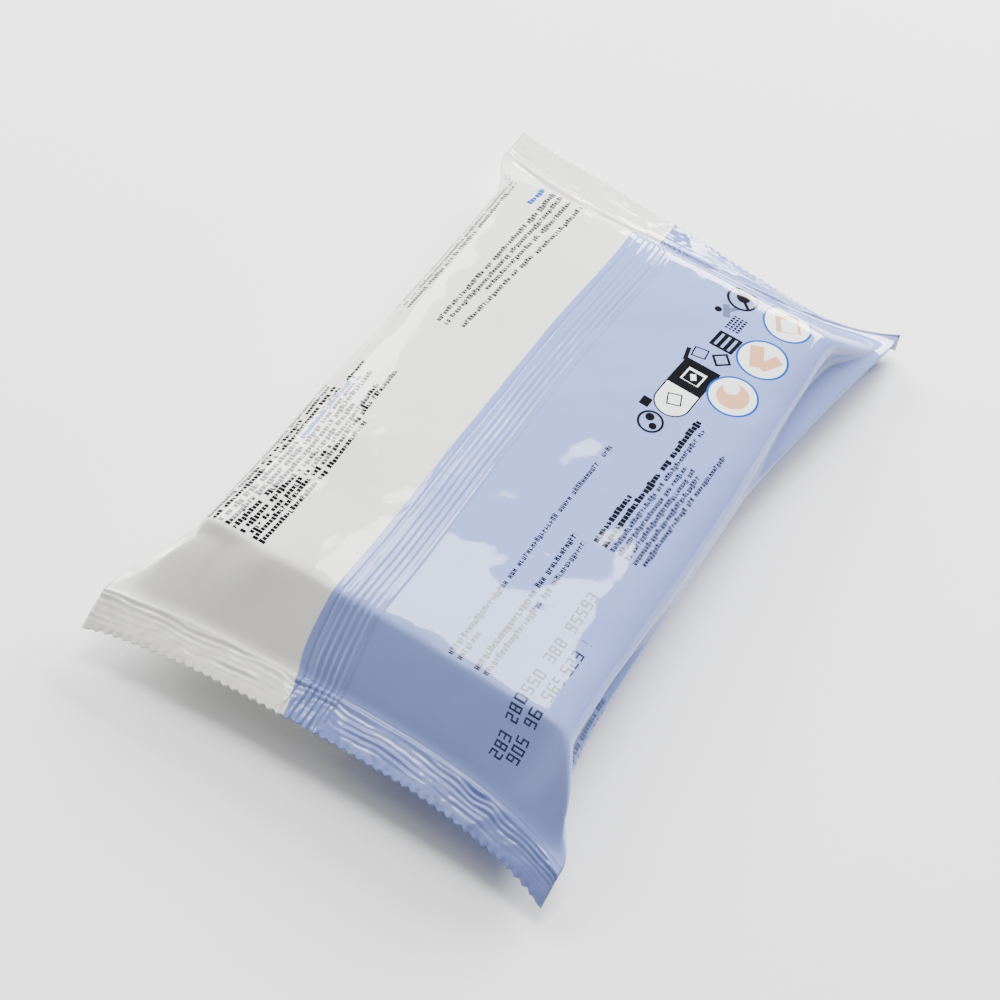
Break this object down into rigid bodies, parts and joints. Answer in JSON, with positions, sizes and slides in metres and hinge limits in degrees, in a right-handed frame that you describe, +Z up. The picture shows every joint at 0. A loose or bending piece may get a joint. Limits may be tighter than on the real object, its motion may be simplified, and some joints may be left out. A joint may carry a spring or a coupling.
{
  "type": "wet wipes pack",
  "caption": "Sealed flow pack of wet wipes in glossy two-tone film, lying on its front, with a folded fin seal along its back, crimped saw-toothed end seals and a peel-back label underneath.",
  "frame": {"origin": "middle of the footprint, on the surface the pack lies on", "axes": "+Y along the pack from one end seal to the other, +X across it on the side away from which the fin seal is folded, +Z up out of the back face"},
  "size_m": [0.1552, 0.2462, 0.0396],
  "materials": {
    "laminated_film": "gloss, printed",
    "label_film": "satin"
  },
  "bodies": {
    "root": {"film_pack": "laminated_film", "reseal_label": "label_film"}
  },
  "joints": []
}
